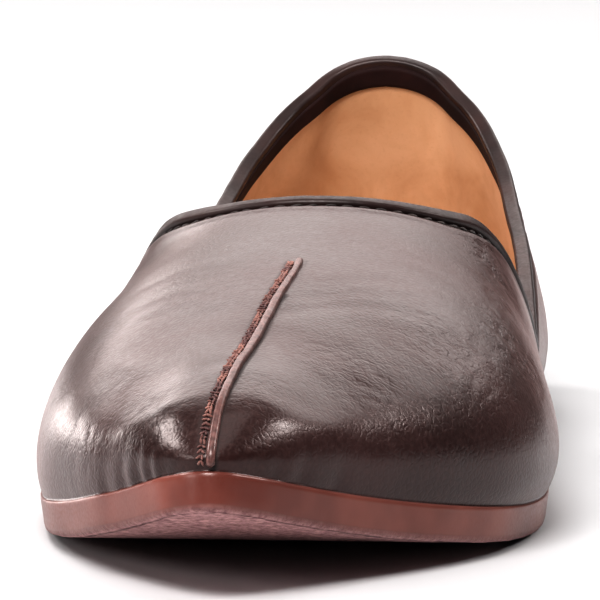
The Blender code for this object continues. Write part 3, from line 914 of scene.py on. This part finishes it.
def upper_leather():
    mat, tree, shader = finish("dark brown grained leather", (0.03, 0.012, 0.011), 0.36, specular=0.42,
                               coat=0.18, coat_roughness=0.2, sheen=0.13, sheen_tint=(1.0, 0.66, 0.62),
                               sheen_roughness=0.35)
    shader.inputs["Specular Tint"].default_value = (1.0, 0.89, 0.875, 1.0)
    patches = noise(tree, 22.0, Detail=3.0)
    specks = noise(tree, 0.9, Detail=2.0)
    cells = texture(tree, 'ShaderNodeTexVoronoi', 1.15, Randomness=1.0)
    cells.feature = 'DISTANCE_TO_EDGE'
    pebbles = ramp(tree, cells.outputs["Distance"], 0.0, 0.22)
    # The stored "dark" share is painted shade: it takes the colour towards near black in the edge groove, the
    # heel creases and beside the seam, and roughens the leather there.
    dark = stored(tree, "dark")
    tone = blend(tree, ramp(tree, patches, 0.35, 0.68), (0.018, 0.0066, 0.0060), (0.034, 0.0125, 0.0115))
    tone = blend(tree, ramp(tree, specks, 0.45, 0.75, 0.0, 0.3), tone, (0.075, 0.034, 0.030))
    tone = blend(tree, ramp(tree, dark, 0.15, 0.75, 0.0, 0.9), tone, (0.005, 0.002, 0.002))
    tree.links.new(tone, shader.inputs["Base Color"])
    gloss = maths(tree, 'ADD', ramp(tree, patches, 0.3, 0.7, 0.30, 0.38),
                  ramp(tree, specks, 0.3, 0.7, -0.03, 0.05))
    gloss = maths(tree, 'ADD', gloss, ramp(tree, dark, 0.15, 0.8, 0.0, 0.4))
    tree.links.new(gloss, shader.inputs["Roughness"])
    layers = [(pebbles, 0.06, 0.35), (specks, 0.05, 0.2)]
    # stored zone | stretch of the wrinkles | depth | strength
    for zone, stretch, deep, strength in (("quarter_wrinkles", (2.6, 2.6, 0.8), 0.35, 0.8),
                                          ("vamp_wrinkles", (2.0, 1.1, 1.1), 0.25, 0.4)):
        lines = noise(tree, 1.8, stretch=stretch, Detail=2.0, Roughness=0.5, Distortion=0.6)
        creases = maths(tree, 'ABSOLUTE', maths(tree, 'SUBTRACT', lines, 0.5), 0.0)
        pads = maths(tree, 'MULTIPLY', ramp(tree, creases, 0.0, 0.09), stored(tree, zone))
        layers.append((pads, deep, strength))
    relief_chain(tree, shader, layers)
    return mat


def tan_leather(name, worn):
    mat, tree, shader = finish(name, (0.63, 0.38, 0.22), 0.6, specular=0.4, sheen=0.05)
    patches = noise(tree, 14.0, Detail=4.0, Roughness=0.6, Distortion=0.6)
    clouds = noise(tree, 34.0, Detail=3.0)
    specks = noise(tree, 0.6, Detail=2.0)
    tone = blend(tree, ramp(tree, patches, 0.35, 0.7), (0.62, 0.40, 0.245), (0.50, 0.29, 0.155))
    tone = blend(tree, ramp(tree, clouds, 0.5, 0.75, 0.0, 0.6), tone, (0.67, 0.46, 0.30))
    tone = blend(tree, ramp(tree, specks, 0.55, 0.8, 0.0, 0.25 * worn), tone, (0.38, 0.20, 0.10))
    tree.links.new(tone, shader.inputs["Base Color"])
    tree.links.new(ramp(tree, patches, 0.3, 0.7, 0.52, 0.66), shader.inputs["Roughness"])
    relief_chain(tree, shader, [(specks, 0.05, 0.3), (patches, 0.25, 0.25)])
    return mat


def sole_rubber():
    """One compound: satin on the side wall, rough, greyer and lighter where the surface faces the ground;
    that extra lightness is painted light for the shade under the shoe.
    """
    mat, tree, shader = finish("red brown sole rubber", (0.13, 0.04, 0.03), 0.35)
    under = stored(tree, "under")
    patches = noise(tree, 16.0, Detail=3.0)
    specks = noise(tree, 0.55, Detail=2.0)
    crumbs = noise(tree, 1.3, Detail=5.0, Roughness=0.7)
    side = blend(tree, ramp(tree, patches, 0.35, 0.7), (0.13, 0.038, 0.028), (0.22, 0.075, 0.056))
    # Underside colour: the rubber's rough, greyer face, made lighter than the side wall as painted light for
    # the shade under the shoe.
    rough = blend(tree, ramp(tree, crumbs, 0.38, 0.62), (0.28, 0.14, 0.145), (0.62, 0.37, 0.36))
    tree.links.new(blend(tree, under, side, rough), shader.inputs["Base Color"])
    gloss = maths(tree, 'ADD', ramp(tree, specks, 0.3, 0.7, 0.28, 0.38), maths(tree, 'MULTIPLY', under, 0.45))
    tree.links.new(gloss, shader.inputs["Roughness"])
    grit = maths(tree, 'MULTIPLY', crumbs, under)
    relief_chain(tree, shader, [(specks, 0.04, 0.25), (grit, 0.9, 0.8)])
    return mat


def thread_finish(name, dark, light):
    return mottled(name, dark, 0.55, dark, light, patch=(5.0, 2.0, 0.4, 0.7), grain=(0.35, 1.0),
                   bump=(0.12, 0.5), sheen=0.2)


UPPER_LEATHER = upper_leather()
EDGE_LEATHER = mottled(
    "dark rolled edge leather", (0.025, 0.010, 0.009), 0.42, (0.016, 0.006, 0.0055), (0.036, 0.015, 0.013),
    patch=(9.0, 3.0, 0.35, 0.7), grain=(0.8, 2.0), bump=(0.08, 0.3), swell=(0.3, 0.3), gloss=(0.36, 0.48),
    specular=0.45)
# The seam's fold is the upper's leather, given a lighter, pinker colour as painted sheen.
SEAM_LEATHER_PAINTED_SHEEN = mottled(
    "raised seam leather with painted sheen", (0.12, 0.06, 0.055), 0.36, (0.075, 0.032, 0.028), (0.18, 0.092, 0.082),
    patch=(0.8, 2.0, 0.35, 0.7), grain=(0.8, 2.0), bump=(0.08, 0.3), coat=0.15)
FACING_LEATHER = mottled(
    "dark facing leather", (0.025, 0.009, 0.009), 0.7, (0.014, 0.005, 0.005), (0.034, 0.012, 0.011),
    patch=(12.0, 3.0, 0.35, 0.7), grain=(0.7, 2.0), bump=(0.08, 0.3), specular=0.2)
LINING_LEATHER = tan_leather("tan lining leather", 0.6)
SOCK_LEATHER = tan_leather("tan sock leather", 1.0)
SOLE_RUBBER = sole_rubber()
DARK_THREAD = thread_finish("dark brown thread", (0.012, 0.006, 0.005), (0.045, 0.028, 0.024))
RED_THREAD = thread_finish("red brown thread", (0.09, 0.032, 0.030), (0.36, 0.18, 0.145))


# ------------------------------------------------------------------ the leather upper and its lining
def make_upper():
    """Vamp and quarter as one closed wall; returns the skin it is made from and its finished outer side."""
    fine, coarse = Skin(1), Skin(COARSE)
    outer = fine.points + fine.normals * leather_relief(fine)[:, None]
    outer[fine.low, 2] = feather(outer[fine.low, 1]) - 0.1
    inner = coarse.points - coarse.normals * LEATHER
    inner[:, 2] = np.maximum(inner[:, 2], feather(inner[:, 1]) + 0.1)
    inner[coarse.low, 2] = feather(inner[coarse.low, 1]) - 0.1
    faces = two_skins(fine, coarse)
    faces += join_loops(fine.low, coarse.low + len(outer))
    faces += join_loops(fine.top, coarse.top + len(outer))
    piece = mesh_piece("vamp_and_quarter", np.concatenate([outer, inner]), faces,
                       UPPER_LEATHER, "upper")
    # The "dark" layer is painted shade for the leather's colour.
    for name, values in (("quarter_wrinkles", wrinkling(fine.points, QUARTER_WRINKLES)),
                         ("vamp_wrinkles", wrinkling(fine.points, VAMP_WRINKLES)),
                         ("dark", painted_shade(fine))):
        store(piece.data, name, np.concatenate([values, np.zeros(len(inner))]))
    return fine, outer


def make_lining():
    """Tan leather against the inside of the wall, its free side a little uneven."""
    skin = Skin(2)
    uneven = 0.25 * np.abs(cloud(skin.points, (26.0, 26.0, 14.0), 21))
    shells = []
    for depth in (LINING_FROM, LINING_TO + uneven):
        shell = skin.points - skin.normals * np.reshape(depth, (-1, 1))
        shell[:, 2] = np.maximum(shell[:, 2], feather(shell[:, 1]) + 0.12)
        shell[skin.low, 2] = feather(shell[skin.low, 1]) + 0.05
        shells.append(shell)
    faces = two_skins(skin, skin)
    for loop in (skin.low, skin.top):
        faces += band(loop, loop + len(skin.points))
    mesh_piece("lining", np.concatenate(shells), faces, LINING_LEATHER, "upper")


def make_facing(skin):
    """Turned-in inner edge of dark leather, all round the opening."""
    count = len(skin.top)
    wide = np.full(count, FACING_WIDE["collar"])
    wide[skin.row("throat")] = FACING_WIDE["throat"]
    wide = np.convolve(np.r_[wide[-8:], wide, wide[:8]], np.ones(9) / 9, 'same')[8:-8]
    wide = wide + FACING_UNEVEN * cloud(skin.points[skin.top], 14.0, 31)
    edge, edge_normal = skin.below(0.0)
    rise = edge - skin.below(FACING_UP)[0]
    rings = [edge + rise - edge_normal * FACING_TO]
    down = [(FACING_TO, k) for k in range(FACING_RUNGS)]
    turned = [(FACING_TO - FACING_TUCK, FACING_RUNGS)]
    back = [(LINING_TO - 0.1, k) for k in range(FACING_RUNGS, -1, -1)]
    for depth, k in down + turned + back:
        p, n = skin.below(wide * k / FACING_RUNGS)
        rings.append(p - n * depth)
    loops = np.arange(len(rings) * count).reshape(-1, count)
    faces = []
    for a, b in zip(loops, np.roll(loops, -1, 0)):
        faces += band(a, b)
    mesh_piece("facing", np.concatenate(rings), faces, FACING_LEATHER)


def edge_line(skin, ids):
    """Line along the middle of the wall's edge, with its across and up directions, in columns."""
    n = skin.normals[ids]
    p = skin.points[ids] - n * ROLL_DEEP
    t = unit(np.gradient(p, axis=0))
    n = unit(n - (n * t).sum(1)[:, None] * t)
    up = np.cross(t, n)
    up *= 1.0 if up[:, 2].sum() > 0 else -1.0
    return np.concatenate([p, n, up], 1)


def carried_on(columns, past):
    """Columns of numbers along a line, carried straight on by some mm at both ends."""
    first, last = columns[0].copy(), columns[-1].copy()
    first[:3] -= unit(columns[3, :3] - columns[0, :3]) * past
    last[:3] += unit(columns[-1, :3] - columns[-4, :3]) * past
    return np.concatenate([[first], columns, [last]])


def rounded_ends(count, length, over):
    """How full a strip is along its length, round at both ends."""
    s = np.linspace(0, length, count)
    d = np.minimum(s, length - s) / over
    return np.where(d < 1, np.sqrt(np.clip(1 - (1 - np.clip(d, 0, 1)) ** 2, 0.05, 1)), 1.0)


def strip_sizes(wide, high, corner, smoothness, uneven, leather):
    """What a rolled strip takes, from mm."""
    return {"Across": wide * 0.001, "Height": high * 0.001, "Corner": corner * 0.001,
            "Round": smoothness, "Unevenness": uneven * 0.001, "Leather": leather}


def stitch_sizes(pitch, length, thread, slant, wander, seed, colour):
    """What a stitch row takes, from mm and radians."""
    return {"Pitch": pitch * 0.001, "Length": length * 0.001, "Thread": thread * 0.001,
            "Slant": slant, "Wander": wander, "Seed": seed, "Finish": colour}


def make_rolled_edges(skin, strip, stitches):
    """A rolled binding over each edge, and a row of stitches in the groove under it."""
    for kind in ("throat", "collar"):
        ids = skin.row(kind)
        data = carried_on(edge_line(skin, skin.top[ids]), ROLL_PAST[kind])
        data, length = even(data, int(260 * DETAIL))
        p, n, up = data[:, :3], unit(data[:, 3:6]), unit(data[:, 6:])
        line = line_object(p + up * (ROLL_HIGH / 2 - ROLL_SUNK), across=n,
                           full=rounded_ends(len(p), length, ROLL_END))
        grow(kind + "_binding_roll", line, strip,
             strip_sizes(ROLL_WIDE, ROLL_HIGH, ROLL_CORNER, smoothness=5, uneven=0.2, leather=EDGE_LEATHER),
             kind + "_binding")
        p, n = skin.below(GROOVE_AT)
        columns = np.concatenate([p[ids] - n[ids] * STITCHES_DEEP, n[ids]], 1)
        data, _ = even(columns, 300, trim=STITCHES_SHORT)
        grow(kind + "_stitches", line_object(data[:, :3], up=unit(data[:, 3:])), stitches,
             stitch_sizes(pitch=2.9, length=2.1, thread=0.55, slant=0.12, wander=0.14, seed=4,
                          colour=DARK_THREAD))


# ------------------------------------------------------------------ the seam up the middle of the vamp
def seam_line(skin, outer, back_y, low_gap, sideways, raised, count):
    """Line over the finished leather beside the seam, from the vamp down to the sole, with its directions."""
    p = outer[skin.spine]
    n = corner_normals(outer, skin.faces)[skin.spine]
    on_vamp = (p[:, 1] > back_y) & (p[:, 2] > feather(p[:, 1]) + low_gap)
    data, length = even(np.concatenate([p, n], 1)[on_vamp], count)
    p, n = data[:, :3], unit(data[:, 3:])
    for _ in range(4):
        n[1:-1] = unit(n[:-2] + n[1:-1] + n[2:])
    for _ in range(60):
        p[1:-1] = 0.25 * p[:-2] + 0.5 * p[1:-1] + 0.25 * p[2:]
    side = unit(np.cross(unit(np.gradient(p, axis=0)), n))
    side *= np.sign(side[:, :1])
    leather = BVHTree.FromPolygons(outer.tolist(), skin.faces.tolist())
    p = np.array([leather.find_nearest(Vector(q))[0] for q in p + side * sideways])
    return p + n * raised, n, side, length


def make_seam(skin, outer, strip, stitches):
    """The folded seam, thinner towards its upper end, and the two rows of stitches that hold it."""
    p, _, side, length = seam_line(skin, outer, SEAM_BACK_Y, 0.5, SEAM_SIDE, 0.1, int(170 * DETAIL))
    full = SEAM_THIN + (1 - SEAM_THIN) * ease((p[:, 1] - SEAM_BACK_Y) / 25)
    full = full * rounded_ends(len(p), length, SEAM_END)
    grow("vamp_seam_fold", line_object(p, across=side, full=full), strip,
         strip_sizes(SEAM_WIDE, 2 * SEAM_HIGH, SEAM_CORNER, smoothness=4, uneven=0.4, leather=SEAM_LEATHER_PAINTED_SHEEN))
    # thread | mm aside of the seam | slant | seed
    for name, aside, slant, seed in (("vamp_seam_stitches", -0.95, 0.6, 11),
                                     ("vamp_seam_stitches_outer", -1.5, -0.5, 12)):
        p, n, _, _ = seam_line(skin, outer, SEAM_BACK_Y + 1.0, 1.0, aside, 0.12, 150)
        grow(name, line_object(p, up=n), stitches,
             stitch_sizes(pitch=0.95, length=1.2, thread=0.46, slant=slant, wander=0.8, seed=seed,
                          colour=RED_THREAD))


# ------------------------------------------------------------------ sole and sock
# Layers from below: inset | height rule | mm over it
SOLE_LAYERS = [
    (1.9, bottom, 0.0),
    (1.25, bottom, 0.18),
    (0.85, bottom, 0.55),
    (0.65, bottom, 1.2),
    (0.5, bottom, 2.4),
    (0.3, bottom, 3.7),
    (0.1, feather, -1.0),
    (0.06, feather, -0.45),
    (0.22, feather, -0.12),
    (0.6, feather, 0.0),
]
SOCK_LAYERS = [
    (0.3, feather, 0.1),
    (0.0, feather, 1.2),
    (0.15, feather, 2.1),
    (0.8, feather, 2.35),
]
TOE_INSET_FROM = 215.0
SOLE_CENTRE = (0.0, 140.0)


def slab(inset, toe_inset, layers, rungs, across):
    """Closed slab in the sole's outline: points, faces, a ring for each layer, and both caps' points."""
    u = 0.5 - 0.5 * np.cos(np.pi * np.linspace(0, 1, rungs + 1))
    u = 0.55 * u + 0.45 * np.linspace(0, 1, rungs + 1)
    halves = ((Half(1).foot(u), range(rungs + 1)), (Half(-1).foot(u), range(rungs - 1, 0, -1)))
    points, rings, faces, caps = [], [], [], []
    for extra, rule, over in layers:
        start = len(points)
        for (px, py, nx, ny), order in halves:
            for i in order:
                share = ease((py[i] - TOE_INSET_FROM) / (LENGTH - TOE_INSET_FROM))
                step = inset + extra + toe_inset * share
                x, y = px[i] - nx[i] * step, py[i] - ny[i] * step
                if i in (0, rungs):
                    x, y = (0.0, step) if i == 0 else (TOE_X, LENGTH - step)
                points.append((x, y, rule(y) + over))
        rings.append(np.arange(start, len(points)))
    for a, b in zip(rings[:-1], rings[1:]):
        faces += zip(a, np.roll(a, -1), np.roll(b, -1), b)
    for ring, (_, rule, over) in ((rings[0], layers[0]), (rings[-1], layers[-1])):
        rows = [[ring[0]] * (across + 1)]
        for a, b in zip(ring[1:rungs], ring[:rungs:-1]):
            for t in np.arange(1, across) / across:
                x, y = (points[a][k] + (points[b][k] - points[a][k]) * t for k in (0, 1))
                points.append((x, y, rule(y) + over))
            rows.append([a, *range(len(points) - across + 1, len(points)), b])
        rows.append([ring[rungs]] * (across + 1))
        caps.append([i for row in rows[1:-1] for i in row[1:-1]])
        for p, q in zip(rows[:-1], rows[1:]):
            for k in range(across):
                face = (p[k], p[k + 1], q[k + 1], q[k])
                face = [v for j, v in enumerate(face) if v != face[j - 1]]
                faces.append(face[::-1] if ring is rings[0] else face)
    return np.array(points), faces, rings, caps


def make_sole():
    """The outsole: a smooth side wall between rounded edges, and a rough underside."""
    points, faces, rings, caps = slab(-0.3, 0.0, SOLE_LAYERS, int(220 * DETAIL), 30)
    under = np.zeros(len(points))
    for ids, share in ((rings[0], 1.0), (rings[1], 0.8), (rings[2], 0.3), (caps[0], 1.0)):
        under[ids] = share
    rough = np.abs(cloud(points, 2.2, 41)) * 0.16 + np.abs(cloud(points, 6.0, 43)) * 0.10
    points[:, 2] += rough * under
    side = (under < 0.5) & (points[:, 2] < feather(points[:, 1]) - 0.05)
    outward = unit(points[:, :2] - np.array(SOLE_CENTRE))
    points[:, :2] += outward * (0.12 * cloud(points, 11.0, 45) * side)[:, None]
    points[:, 1] += lean(points[:, 1], points[:, 2])
    piece = mesh_piece("outsole_slab", points, faces, SOLE_RUBBER, "outsole")
    # The "under" share also lightens the rubber's colour there, partly as painted light.
    store(piece.data, "under", under)


def make_sock():
    """The sock over the floor of the shoe, softly uneven on top."""
    points, faces, _, caps = slab(1.3, 4.0, SOCK_LAYERS, int(160 * DETAIL), 36)
    soft = 0.18 * cloud(points, 24.0, 51) + 0.06 * cloud(points, 6.0, 53)
    points[caps[1], 2] += soft[caps[1]] - 0.15
    mesh_piece("sock", points, faces, SOCK_LEATHER, "insole")


# ------------------------------------------------------------------ camera, floor and light, in metres
AIM_HEIGHT = 0.030
CAMERA_AWAY = 1.1
CAMERA_ROUND = math.radians(5.0)
CAMERA_UP = math.radians(6.5)
CAMERA_LENS = 372.6
AIM_LEFT = 0.0048
AIM_UP = 0.0023
FLOOR_HALF = 6.0
WARM_WHITE = (1.0, 0.94, 0.92)

# name | where it stands | what it faces | width | height | power
LIGHTS = [
    ("sky_behind", (0.25, 1.92, 1.56), (0.0, 0.0, 0.03), 3.2, 1.15, 29.0),
    ("low_behind", (-0.1, 2.6, 0.9), (0.0, 0.0, 0.03), 2.4, 0.6, 4.2),
    ("left_low", (-1.15, 2.2, 0.75), (0.0, 0.0, 0.03), 0.8, 0.4, 3.3),
    ("left_horizon", (-1.5, 2.1, 0.16), (0.0, 0.0, 0.03), 0.8, 0.26, 4.4),
    ("left_window", (-1.56, 0.44, 1.23), (0.0, -0.1, 0.03), 0.7, 0.55, 19.0),
    ("left_front", (-1.7, -0.9, 0.7), (0.0, -0.1, 0.02), 0.8, 0.5, 10.0),
    ("right_key", (1.6, 0.27, 1.32), (0.0, -0.1, 0.03), 0.36, 0.42, 16.0),
    ("front_fill", (-0.2, -1.3, 1.4), (0.0, 0.05, 0.03), 0.9, 0.6, 38.0),
    ("ceiling", (0.0, 0.0, 2.3), (0.0, 0.0, 0.0), 1.6, 1.2, 12.0),
]


def stand(name, data, eye, aim):
    """Put a camera or a light at eye and turn it to aim."""
    made = in_scene(name, data)
    made.location = eye
    made.rotation_mode = 'QUATERNION'
    made.rotation_quaternion = (Vector(aim) - Vector(eye)).to_track_quat('-Z', 'Y')
    return made


def make_camera():
    data = bpy.data.cameras.new("camera")
    data.sensor_width, data.lens = 36.0, CAMERA_LENS
    data.clip_start, data.clip_end = 0.05, 20.0
    right = Vector((math.cos(CAMERA_ROUND), math.sin(CAMERA_ROUND), 0.0))
    level = Vector((math.sin(CAMERA_ROUND), -math.cos(CAMERA_ROUND), 0.0))
    back = level * math.cos(CAMERA_UP) + Vector((0.0, 0.0, math.sin(CAMERA_UP)))
    middle = Vector((CENTRE_X * 0.001, CENTRE_Y * 0.001, AIM_HEIGHT))
    aim = middle - right * AIM_LEFT + right.cross(-back) * AIM_UP
    bpy.context.scene.camera = stand("camera", data, middle + back * CAMERA_AWAY, aim)


def make_floor():
    mesh = bpy.data.meshes.new("floor")
    corners = [(x * FLOOR_HALF, y * FLOOR_HALF, 0) for x, y in ((-1, -1), (1, -1), (1, 1), (-1, 1))]
    mesh.from_pydata(corners, [], [(0, 1, 2, 3)])
    mesh.materials.append(finish("pale floor", (0.56, 0.585, 0.60), 0.9, specular=0.1)[0])
    in_scene("floor", mesh)


def make_light():
    for name, eye, aim, wide, high, power in LIGHTS:
        data = bpy.data.lights.new(name, 'AREA')
        data.shape = 'RECTANGLE'
        data.size, data.size_y = wide, high
        data.energy, data.color = power, WARM_WHITE
        stand(name, data, eye, aim)
    world = bpy.data.worlds.new("room")
    world.use_nodes = True
    sky = world.node_tree.nodes["Background"]
    sky.inputs["Color"].default_value = (1.0, 1.0, 1.0, 1.0)
    sky.inputs["Strength"].default_value = 0.03
    bpy.context.scene.world = world
    film = bpy.context.scene.view_settings
    film.view_transform = 'Standard'
    film.exposure, film.gamma = 0.40, 0.74


make_camera()
skin, outer = make_upper()
make_lining()
make_facing(skin)
strip, stitches = rolled_strip_tree(), stitch_row_tree()
make_rolled_edges(skin, strip, stitches)
make_seam(skin, outer, strip, stitches)
make_sole()
make_sock()
make_floor()
make_light()
